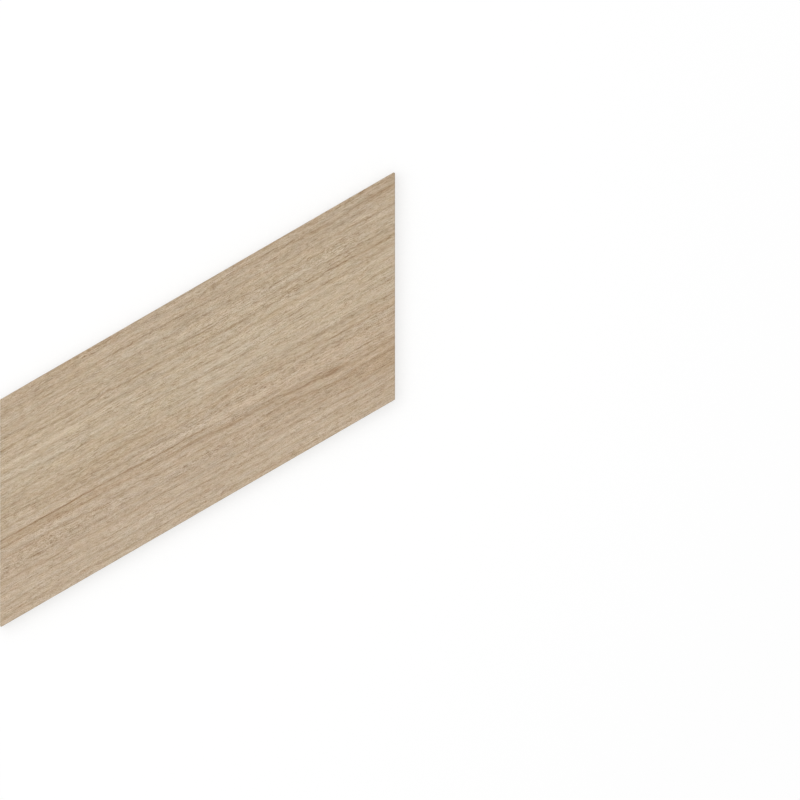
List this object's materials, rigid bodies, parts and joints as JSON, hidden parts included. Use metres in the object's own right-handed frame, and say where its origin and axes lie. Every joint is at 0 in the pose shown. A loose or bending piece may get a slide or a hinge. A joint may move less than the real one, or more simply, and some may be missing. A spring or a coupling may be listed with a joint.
{
  "type": "chevron floor tile",
  "caption": "Flat rhomboid porcelain tile with mitred ends and a matt wood-look face, laid in mirrored pairs as a herringbone floor.",
  "frame": {"origin": "middle of the underside, on the plane of the rim and ribs that the tile rests on", "axes": "+X along the long sides, towards the end whose sharp point is at +Y; +Y across the tile, square to the long sides; +Z out of the decorated face"},
  "size_m": [0.2554, 0.0888, 0.009],
  "materials": {
    "wood_look_porcelain": "matte"
  },
  "bodies": {
    "root": {"chevron_tile": "wood_look_porcelain"}
  },
  "joints": []
}
